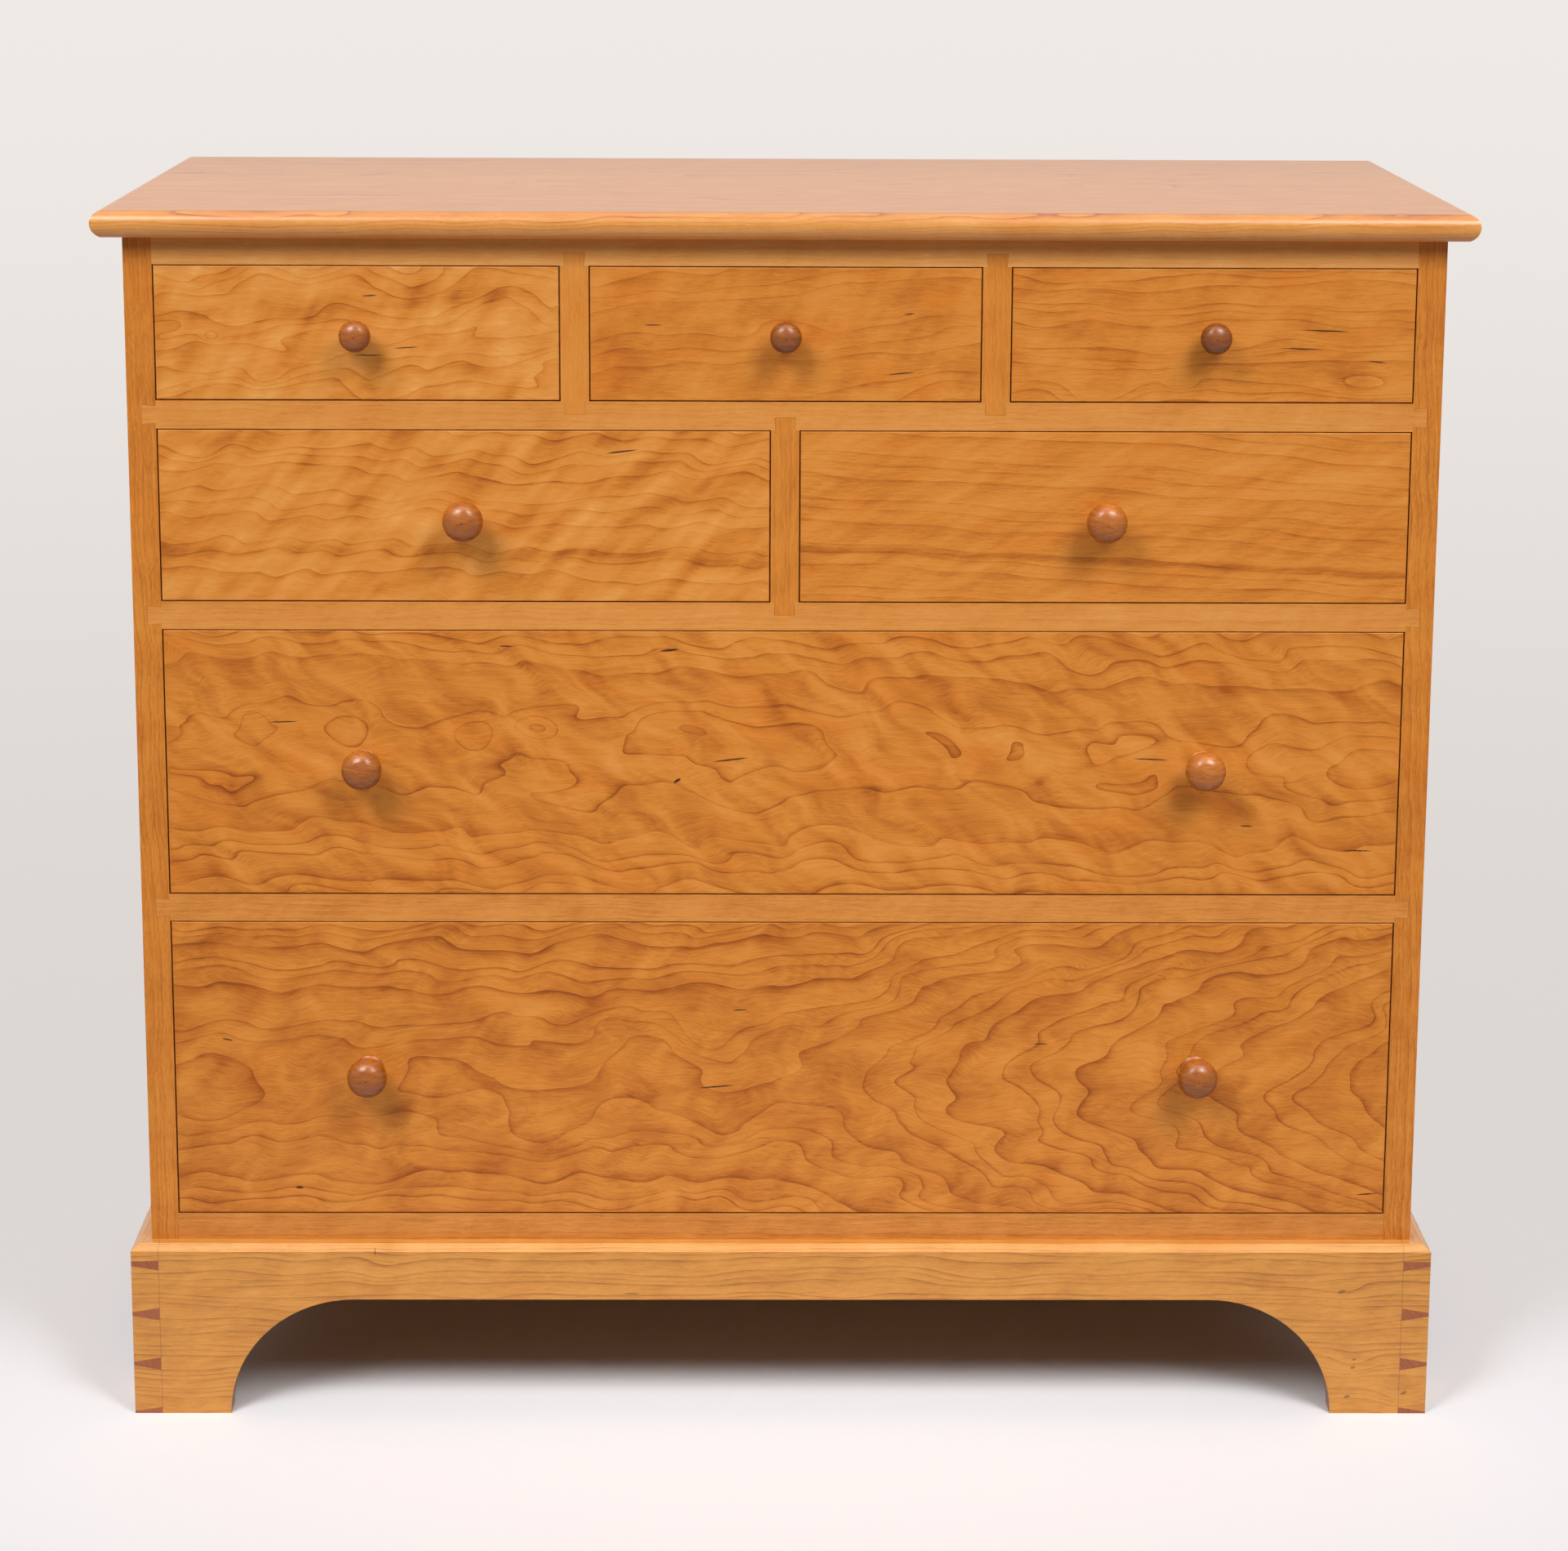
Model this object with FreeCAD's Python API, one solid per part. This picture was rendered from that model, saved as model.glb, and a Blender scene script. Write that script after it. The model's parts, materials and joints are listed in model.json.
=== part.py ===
"""Flat-fronted chest of seven drawers on a dovetailed bracket base.

Millimetres, +Z up, front towards -Y. The origin lies on the floor, under the middle of the overall box.
"""

import FreeCAD, Part
import math
import os

from FreeCAD import Vector

# Case
case_width = 1016.0
case_depth = 487.0
side_thickness = 22.0
rail_height = 22.0
rail_depth = 60.0
back_rail_depth = 60.0
muntin_width = 22.0
muntin_depth = 38.0
muntin_offset = 162.5  # from the middle of the chest to each muntin of the top row
top_row_height = 105.0
second_row_height = 136.0
third_row_height = 214.0
bottom_row_height = 244.0

# Lapped dovetails that show on the front
rail_lap = 11.0
rail_neck = 13.6
rail_flare = 1.0
muntin_lap = 10.0
muntin_neck = 15.2
muntin_flare = 0.7

# Dovetails hidden under the top
top_tail_thickness = 12.0
top_tail_neck = 26.0
top_tail_flare = 3.0

# Top board
top_thickness = 20.6
top_overhang = 21.4
top_upper_round = 9.4  # from the upper face down to the widest line
top_under_inset = 7.1

# Drawer frames behind the front rails
tongue_thickness = 10.0
tongue_length = 6.0
tenon_length = 12.0
bottom_tenon_setback = 15.0
runner_width = 34.0
center_runner_width = 62.0
guide_height = 20.0
stop_length = 40.0
stop_width = 16.0
stop_height = 5.0

# Back
back_board_count = 8
back_board_thickness = 12.0
back_board_gap = 1.0
back_board_lap = 8.0
back_rabbet_width = 11.0

# Base
base_height = 143.0
base_reveal = 15.1
base_thickness = 22.0
ledge_chamfer_run = 6.2
ledge_chamfer_drop = 5.2
foot_width = 77.6
arch_run = 101.0
arch_rise = 97.4
base_mitre_height = 13.2
base_top_pin_rise = 2.6  # from the line of the topmost pin to the mitre
base_pin_width = 3.2  # at the narrow outer end
base_pin_slope = 1 / 6
base_pin_count = 4
base_back_rabbet = 11.0
cleat_width = 30.0
cleat_height = 24.0
corner_block_leg = 40.0
corner_block_lift = 4.0

# Drawers
drawer_gap = 0.9
drawer_front_thickness = 20.0
drawer_front_ease = 0.8
drawer_front_lap = 6.0
drawer_side_thickness = 12.0
drawer_side_drop = 2.0  # from the top of the front to the top of the sides
drawer_back_thickness = 12.0
drawer_back_drop = 5.0  # from the top of the sides to the top of the back
drawer_rear_space = 10.0
drawer_bottom_lift = 10.0
drawer_bottom_thickness = 9.0
drawer_bottom_edge = 6.0
drawer_bottom_bevel = 34.0
drawer_groove_depth = 6.0
drawer_tail_pitch = 32.0
drawer_pin_width = 5.0
drawer_pin_slope = 1 / 7
running_clearance = 0.3

# Turned knobs
large_knob_diameter = 31.6
small_knob_diameter = 24.4
knob_equator_share = 0.8  # of the diameter, from the drawer front to the widest line
knob_rim_share = 0.7  # radius of the round at the widest line, of the knob's radius
knob_rim_angle = math.radians(67)
knob_neck_share = 0.5
knob_neck_place_share = 0.22
knob_flange_share = 0.7
knob_flange_edge_share = 0.05
knob_tenon_share = 0.38
knob_underside_angle = math.radians(48)

# Screws
screw_diameter = 4.5
screw_head_diameter = 9.0
screw_head_height = 3.0
screw_tip = 5.0
screw_bite = 12.0
top_screw_spacing = 380.0
base_screw_spacing = 300.0

overrun = 5.0
fit_tolerance = 0.0001

X, Y, Z = Vector(1, 0, 0), Vector(0, 1, 0), Vector(0, 0, 1)

# Heights of the rails above the floor
bottom_rail_z = base_height
lower_rail_z = bottom_rail_z + rail_height + bottom_row_height
middle_rail_z = lower_rail_z + rail_height + third_row_height
upper_rail_z = middle_rail_z + rail_height + second_row_height
top_rail_z = upper_rail_z + rail_height + top_row_height
case_top_z = top_rail_z + rail_height

# Planes across the chest and from front to back
half_case = case_width / 2
half_inside = half_case - side_thickness
half_muntin = muntin_width / 2
knob_face_share = knob_rim_share + (1 - knob_rim_share) * (1 - math.sin(knob_rim_angle)) / math.cos(knob_rim_angle)
knob_projection = large_knob_diameter * (knob_equator_share + knob_face_share / 2)
front_y = (knob_projection - case_depth) / 2
back_y = front_y + case_depth
rail_back_y = front_y + rail_depth
lining_y = back_y - back_board_thickness
back_rail_y = lining_y - back_rail_depth
drawer_end_y = lining_y - drawer_rear_space
base_half = half_case + base_reveal
base_inside = base_half - base_thickness
base_front_y = front_y - base_reveal
base_lining_y = base_front_y + base_thickness

inside_x = (-half_inside, half_inside)
rail_y = (front_y, rail_back_y)


def block(x_range, y_range, z_range):
    """Box between three pairs of limits."""
    low, high = (Vector(*corner) for corner in zip(x_range, y_range, z_range))
    size = high - low
    return Part.makeBox(size.x, size.y, size.z, low)


def prism(points, sweep):
    """Flat outline pushed along a vector."""
    return Part.Face(Part.makePolygon(points + points[:1])).extrude(sweep)


def joined(*solids):
    """One solid from several that meet."""
    return solids[0].fuse(list(solids[1:])).removeSplitter().Solids[0]


def carved(solid, tools):
    """What is left of a solid once all the tools are taken out of it."""
    return solid.cut(list(tools)).removeSplitter().Solids[0]


def mirrored(solid):
    """The same piece on the other hand of the chest."""
    return solid.mirror(Vector(), X)


def save(name, solids):
    """Writes one node, which may hold several separate solids."""
    Part.makeCompound(solids).exportStep("parts/" + name + ".step")


def dovetail(root, along, across, sweep, length, neck, flare):
    """Tongue that grows from a root point and flares towards its tip."""
    tip = root + along * length
    near = across * (neck / 2)
    far = across * (neck / 2 + flare)
    return prism([root - near, root + near, tip + far, tip - far], sweep)


def quarter_ellipse(start, corner, end):
    """Exact quarter of an ellipse, drawn inside the corner of its box."""
    curve = Part.BezierCurve()
    curve.setPoles([start, corner, end])
    curve.setWeight(2, math.sqrt(1 / 2))
    return curve.toShape()


def line(start, end):
    return Part.LineSegment(start, end).toShape()


def tongue_z(z):
    """Height limits of the tongues, tenons and grooves at a rail's mid height."""
    low = z + (rail_height - tongue_thickness) / 2
    return (low, low + tongue_thickness)


# Front rails, muntins and the frames behind them


def drawer_rail(z):
    """Rail between two rows of drawers, lap-dovetailed into the front edges of both sides."""
    middle = z + rail_height / 2
    body = block(inside_x, rail_y, (z, z + rail_height))
    tongues = []
    for hand in (-1, 1):
        root = Vector(hand * half_inside, front_y, middle)
        tongues.append(dovetail(root, X * hand, Z, Y * rail_depth, rail_lap, rail_neck, rail_flare))
    groove = block(inside_x, (rail_back_y - tenon_length, rail_back_y), tongue_z(z))
    return carved(joined(body, *tongues), [groove])


def bottom_rail():
    """Lowest front rail, on a blind tenon at each end."""
    z_range = (bottom_rail_z, bottom_rail_z + rail_height)
    body = block(inside_x, rail_y, z_range)
    tenon_y = (front_y + bottom_tenon_setback, rail_back_y - bottom_tenon_setback)
    reach = half_inside + tongue_length
    tenon = block((-reach, reach), tenon_y, tongue_z(bottom_rail_z))
    groove = block(inside_x, (rail_back_y - tenon_length, rail_back_y), tongue_z(bottom_rail_z))
    return carved(joined(body, tenon), [groove])


def top_rail(y_range, groove_y):
    """Rail under the top, dropped into the sides from above on a dovetail at each end."""
    body = block(inside_x, y_range, (top_rail_z, case_top_z))
    tails = []
    for hand in (-1, 1):
        root = Vector(hand * half_inside, sum(y_range) / 2, case_top_z - top_tail_thickness)
        tails.append(
            dovetail(root, X * hand, Y, Z * top_tail_thickness, rail_lap, top_tail_neck, top_tail_flare)
        )
    groove = block(inside_x, groove_y, tongue_z(top_rail_z))
    return carved(joined(body, *tails), [groove])


def muntin(x, z_range):
    """Upright between two drawers, lap-dovetailed into the rails above and below."""
    body = block((x - half_muntin, x + half_muntin), (front_y, front_y + muntin_depth), z_range)
    tongues = []
    for z, way in zip(z_range, (-1, 1)):
        root = Vector(x, front_y, z)
        tongues.append(
            dovetail(root, Z * way, X, Y * muntin_depth, muntin_lap, muntin_neck, muntin_flare)
        )
    return joined(body, *tongues)


def back_rail(z):
    """Rear rail of a drawer frame, tongued into the sides behind its groove."""
    groove_end_y = back_rail_y + tenon_length
    reach = half_inside + tongue_length
    body = block(inside_x, (back_rail_y, lining_y), (z, z + rail_height))
    tongue = block((-reach, reach), (groove_end_y, lining_y), tongue_z(z))
    groove = block(inside_x, (back_rail_y, groove_end_y), tongue_z(z))
    return carved(joined(body, tongue), [groove])


def frame_bar(x_range, z):
    """Bar from front to back, with a stub tenon in the groove of the rail at each end."""
    body = block(x_range, (rail_back_y, back_rail_y), (z, z + rail_height))
    tenon_y = (rail_back_y - tenon_length, back_rail_y + tenon_length)
    return joined(body, block(x_range, tenon_y, tongue_z(z)))


def side_bar(z):
    """Left bar of a drawer frame, also tongued into the side along its length."""
    bar = frame_bar((-half_inside, runner_width - half_inside), z)
    tongue_x = (-half_inside - tongue_length, -half_inside)
    return joined(bar, block(tongue_x, (rail_back_y, back_rail_y), tongue_z(z)))


def center_bar(x, z):
    """Bar behind a muntin, wide enough to carry the drawers on both sides of it."""
    return frame_bar((x - center_runner_width / 2, x + center_runner_width / 2), z)


def drawer_guide(x, z):
    """Strip behind a muntin that keeps the drawers on both sides of it straight."""
    y_range = (front_y + muntin_depth, back_rail_y)
    return block((x - half_muntin, x + half_muntin), y_range, (z, z + guide_height))


# Case boards


def top_board():
    """Board with a rounded, undercut edge on its front and ends."""
    half = half_case + top_overhang
    lip_y = front_y - top_overhang
    under, upper = case_top_z, case_top_z + top_thickness
    widest = upper - top_upper_round
    sweep_angle = 2 * math.atan2(top_under_inset, widest - under)
    under_radius = top_under_inset / (1 - math.cos(sweep_angle))

    def edge(origin, inward):
        """Edge outline from the upper face round to the underside, with its two ends."""

        def at(inset, z):
            return origin + inward * inset + Z * z

        def turned(radius, angle, way):
            return at(radius * (1 - math.cos(angle)), widest + way * radius * math.sin(angle))

        eighth = math.pi / 4
        upper_end, under_end = at(top_upper_round, upper), at(top_under_inset, under)
        upper_round = Part.Arc(upper_end, turned(top_upper_round, eighth, 1), at(0, widest))
        under_round = Part.Arc(at(0, widest), turned(under_radius, sweep_angle / 2, -1), under_end)
        return [upper_round.toShape(), under_round.toShape()], upper_end, under_end

    # The front edge runs past both ends, and the end edges run past the front and the back
    start_x = -half - overrun
    rounds, lip_top, lip_foot = edge(Vector(start_x, lip_y, 0), Y)
    back_foot, back_top = Vector(start_x, back_y, under), Vector(start_x, back_y, upper)
    square = [line(lip_foot, back_foot), line(back_foot, back_top), line(back_top, lip_top)]
    across = Part.Face(Part.Wire(rounds + square)).extrude(X * (-start_x - start_x))

    start_y = lip_y - overrun
    left_rounds, left_top, left_foot = edge(Vector(-half, start_y, 0), X)
    right_rounds, right_top, right_foot = edge(Vector(half, start_y, 0), -X)
    outline = left_rounds + [line(left_foot, right_foot)] + right_rounds[::-1] + [line(right_top, left_top)]
    along = Part.Face(Part.Wire(outline)).extrude(Y * (back_y + overrun - start_y))
    return across.common([along], fit_tolerance).Solids[0]


def back_boards():
    """Upright boards that overlap on half-thickness laps, within the rabbets of the sides."""
    reach = half_inside + back_rabbet_width
    step = 2 * reach / back_board_count
    middle_y = (lining_y + back_y) / 2
    boards = []
    for number in range(back_board_count):
        first, last = number == 0, number == back_board_count - 1
        left = number * step - reach + (0 if first else back_board_gap / 2)
        right = (number + 1) * step - reach - (0 if last else back_board_gap / 2)
        inner_left = left + (0 if first else back_board_lap)
        inner_right = right + (0 if last else back_board_lap)
        outline = [(left, back_y), (right, back_y), (right, middle_y), (inner_right, middle_y)]
        outline += [(inner_right, lining_y), (inner_left, lining_y), (inner_left, middle_y), (left, middle_y)]
        corners = []
        for x, y in outline:
            corner = Vector(x, y, base_height)
            if corner not in corners:
                corners.append(corner)
        boards.append(prism(corners, Z * (case_top_z - base_height)))
    return boards


# Bracket base


def arch(span, along, outer_end, sweep):
    """Cutter for the opening between two feet: a flat with a quarter ellipse at each end."""
    def at(place, z):
        return outer_end + along * place + Z * z

    first, last = foot_width, span - foot_width
    edges = [
        quarter_ellipse(at(first, 0), at(first, arch_rise), at(first + arch_run, arch_rise)),
        line(at(first + arch_run, arch_rise), at(last - arch_run, arch_rise)),
        quarter_ellipse(at(last - arch_run, arch_rise), at(last, arch_rise), at(last, 0)),
        line(at(last, 0), at(first, 0)),
    ]
    return Part.Face(Part.Wire(edges)).extrude(sweep)


def base_mitre():
    """Wedge of the left base board in the mitred top of the front corner."""
    low = base_height - base_mitre_height
    corners = [
        Vector(-base_half, base_front_y, low),
        Vector(-base_inside, base_lining_y, low),
        Vector(-base_half, base_lining_y, low),
    ]
    return prism(corners, Z * (base_mitre_height + overrun))


def base_pins():
    """End-grain pins of the left base board, narrow at the outer end, seen on the front.

    The lowest is a half pin on the floor, and the topmost runs up square to the mitre.
    """
    tip = base_pin_width / 2
    root = tip + base_thickness * base_pin_slope
    mitre_z = base_height - base_mitre_height
    spacing = (mitre_z - base_top_pin_rise) / (base_pin_count - 1)
    pins = []
    for number in range(base_pin_count):
        z = number * spacing
        topmost = number == base_pin_count - 1
        outer_top, inner_top = (mitre_z, mitre_z) if topmost else (z + tip, z + root)
        outline = [(-base_half, z - tip), (-base_half, outer_top), (-base_inside, inner_top), (-base_inside, z - root)]
        pins.append(prism([Vector(x, base_front_y, height) for x, height in outline], Y * base_thickness))
    return pins


def base_side(base_back):
    """Left base board, with a moulded upper edge, pins in front and a rabbet behind."""
    shoulder = base_height - ledge_chamfer_drop
    outline = [(-base_half, 0), (-base_half, shoulder), (ledge_chamfer_run - base_half, base_height)]
    outline += [(-base_inside, base_height), (-base_inside, 0)]
    corners = [Vector(x, base_front_y, z) for x, z in outline]
    span = back_y - base_front_y
    board = prism(corners, Y * span)
    corner_x, corner_y = (-base_half, -base_inside), (base_front_y, base_lining_y)
    corner = block(corner_x, corner_y, (0, base_height))
    under_mitre = block(corner_x, corner_y, (0, base_height - base_mitre_height))
    pins = [pin.common(under_mitre) for pin in base_pins()]
    tails = corner.cut(pins + [base_mitre()])
    opening = arch(span, Y, Vector(-base_half, base_front_y, 0), X * base_thickness)
    return carved(board, [tails, opening, base_back])


def base_front(sides):
    """Front base board, with a moulded upper edge and a row of tails at each end."""
    shoulder = base_height - ledge_chamfer_drop
    outline = [(base_front_y, 0), (base_front_y, shoulder), (base_front_y + ledge_chamfer_run, base_height)]
    outline += [(base_lining_y, base_height), (base_lining_y, 0)]
    corners = [Vector(-base_half, y, z) for y, z in outline]
    board = prism(corners, X * (base_half + base_half))
    span = base_half + base_half
    opening = arch(span, X, Vector(-base_half, base_front_y, 0), Y * base_thickness)
    mitre = base_mitre()
    return carved(board, [opening, mitre, mirrored(mitre)] + sides)


def base_back():
    """Plain rear base board, housed between the sides."""
    reach = base_inside + base_back_rabbet
    board = block((-reach, reach), (back_y - base_thickness, back_y), (0, base_height))
    span = base_half + base_half
    opening = arch(span, X, Vector(-base_half, back_y - base_thickness, 0), Y * base_thickness)
    return carved(board, [opening])


def base_cleats():
    """Strips flush with the ledge, which the case stands on and is screwed to."""
    z_range = (base_height - cleat_height, base_height)
    front_cleat_y = (base_lining_y, base_lining_y + cleat_width)
    back_cleat_y = (back_y - base_thickness - cleat_width, back_y - base_thickness)
    full_x = (-base_inside, base_inside)
    side = block((-base_inside, cleat_width - base_inside), (front_cleat_y[1], back_cleat_y[0]), z_range)
    return [block(full_x, front_cleat_y, z_range), block(full_x, back_cleat_y, z_range), side, mirrored(side)]


def corner_blocks():
    """Three-cornered blocks glued behind the feet."""
    height = base_height - cleat_height - corner_block_lift
    blocks = []
    for y, inward in ((base_lining_y, 1), (back_y - base_thickness, -1)):
        corner = Vector(-base_inside, y, corner_block_lift)
        outline = [corner, corner + X * corner_block_leg, corner + Y * (inward * corner_block_leg)]
        left = prism(outline, Z * height)
        blocks += [left, mirrored(left)]
    return blocks


def screw(x, y, z, through):
    """Countersunk wood screw, driven upwards through one piece into the next."""
    length = through + screw_bite
    shank = screw_diameter / 2
    outline = [(0, 0), (screw_head_diameter / 2, 0), (shank, screw_head_height), (shank, length - screw_tip), (0, length)]
    points = [Vector(x + radius, y, z + height) for radius, height in outline]
    return Part.Face(Part.makePolygon(points + points[:1])).revolve(Vector(x, y, z), Z, 360)


# Drawers


def knob(diameter, x, z):
    """Turned knob: round head, coved neck, flange against the drawer and a tenon through it."""

    def at(radius, reach):
        return Vector(x + radius, front_y - reach, z)

    def turned(center_radius, center_reach, radius, angle):
        """Point of an arc, at an angle towards the face from the widest line."""
        return at(center_radius + radius * math.cos(angle), center_reach + radius * math.sin(angle))

    radius = diameter / 2
    equator = diameter * knob_equator_share
    flange, flange_edge = radius * knob_flange_share, diameter * knob_flange_edge_share
    tenon = radius * knob_tenon_share
    neck = at(radius * knob_neck_share, diameter * knob_neck_place_share)
    under = -knob_underside_angle

    # The face is a shallow dome that runs smoothly into a tighter round at the widest line
    rim = radius * knob_rim_share
    rim_center = radius - rim
    dome_depth = rim_center * math.tan(knob_rim_angle)
    dome = rim + rim_center / math.cos(knob_rim_angle)
    dome_middle = (knob_rim_angle + math.pi / 2) / 2
    rim_end = turned(rim_center, equator, rim, knob_rim_angle)
    apex = at(0, equator - dome_depth + dome)

    edges = [
        line(apex, at(0, -drawer_front_thickness)),
        line(at(0, -drawer_front_thickness), at(tenon, -drawer_front_thickness)),
        line(at(tenon, -drawer_front_thickness), at(tenon, 0)),
        line(at(tenon, 0), at(flange, 0)),
        line(at(flange, 0), at(flange, flange_edge)),
        Part.Arc(at(flange, flange_edge), neck, turned(0, equator, radius, under)).toShape(),
        Part.Arc(
            turned(0, equator, radius, under), turned(0, equator, radius, under / 2), at(radius, equator)
        ).toShape(),
        Part.Arc(
            at(radius, equator), turned(rim_center, equator, rim, knob_rim_angle / 2), rim_end
        ).toShape(),
        Part.Arc(rim_end, turned(0, equator - dome_depth, dome, dome_middle), apex).toShape(),
    ]
    return Part.Face(Part.Wire(edges)).revolve(at(0, 0), Y, 360)


def pins_between(x_range, y_base, y_end, z_range):
    """Pins that stand between the tails of a drawer side, widest at the base line."""
    low, high = z_range
    count = max(1, round((high - low) / drawer_tail_pitch))
    tip = drawer_pin_width / 2
    root = tip + abs(y_end - y_base) * drawer_pin_slope
    within = block(x_range, (min(y_base, y_end), max(y_base, y_end)), z_range)
    pins = []
    for number in range(count + 1):
        z = low + (high - low) * number / count
        outline = [(y_base, z - root), (y_base, z + root), (y_end, z + tip), (y_end, z - tip)]
        pin = prism([Vector(x_range[0], y, height) for y, height in outline], X * (x_range[1] - x_range[0]))
        pins.append(pin.common(within))
    return pins


def drawer_bottom(x_range, y_range, z):
    """Panel with its underside bevelled to fit the grooves of the front and sides."""
    (left, right), (near, far) = x_range, y_range
    edge_z = z + drawer_bottom_thickness - drawer_bottom_edge
    top_z = z + drawer_bottom_thickness
    outline = [(left, top_z), (right, top_z), (right, edge_z), (right - drawer_bottom_bevel, z)]
    outline += [(left + drawer_bottom_bevel, z), (left, edge_z)]
    across = prism([Vector(x, near, height) for x, height in outline], Y * (far - near))
    outline = [(near, top_z), (far, top_z), (far, z), (near + drawer_bottom_bevel, z), (near, edge_z)]
    along = prism([Vector(left, y, height) for y, height in outline], X * (right - left))
    return across.common(along).Solids[0]


def drawer(name, opening_x, z, row_height, knob_diameter, knob_places):
    """One drawer: lipless front, dovetailed sides and back, loose bottom and its knobs."""
    left, right = opening_x[0] + drawer_gap, opening_x[1] - drawer_gap
    front_z = (z + drawer_gap, z + row_height - drawer_gap)
    inner_y = front_y + drawer_front_thickness
    side_z = (z + running_clearance, front_z[1] - drawer_side_drop)
    edge_z = side_z[0] + drawer_bottom_lift
    panel_z = edge_z - drawer_bottom_thickness + drawer_bottom_edge
    back_z = (edge_z + drawer_bottom_edge, side_z[1] - drawer_back_drop)
    tail_y = front_y + drawer_front_lap
    back_inner_y = drawer_end_y - drawer_back_thickness

    sides = []
    for side_x in ((left, left + drawer_side_thickness), (right - drawer_side_thickness, right)):
        board = block(side_x, (tail_y, drawer_end_y), side_z)
        pins = pins_between(side_x, inner_y, tail_y, side_z)
        pins += pins_between(side_x, back_inner_y, drawer_end_y, back_z)
        sides.append(carved(board, pins))

    inset = drawer_side_thickness - drawer_groove_depth
    bottom_x, bottom_y = (left + inset, right - inset), (inner_y - drawer_groove_depth, drawer_end_y)
    bottom = drawer_bottom(bottom_x, bottom_y, panel_z)

    blank = block((left, right), (front_y, inner_y), front_z)
    arrises = [edge for edge in blank.Edges if all(abs(v.Y - front_y) < overrun for v in edge.Vertexes)]
    eased = blank.makeFillet(drawer_front_ease, arrises)
    middle_z = sum(front_z) / 2
    knobs = [knob(knob_diameter, x, middle_z) for x in knob_places]
    front = carved(eased, sides + knobs + [bottom])
    back = carved(block((left, right), (back_inner_y, drawer_end_y), back_z), sides)

    save(name + "_front", [front])
    save(name + "_sides", [carved(side, [bottom]) for side in sides])
    save(name + "_back", [back])
    save(name + "_bottom", [bottom])
    save(name + "_knobs" if len(knobs) > 1 else name + "_knob", knobs)


def drawer_stops(opening_x, z):
    """Two blocks on the rail that the drawer front meets when it is flush."""
    near = front_y + drawer_front_thickness + running_clearance
    left, right = opening_x
    quarter = (right - left) / 4
    stops = []
    for x in (left + quarter, right - quarter):
        stops.append(block((x - stop_length / 2, x + stop_length / 2), (near, near + stop_width), (z, z + stop_height)))
    return stops


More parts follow.
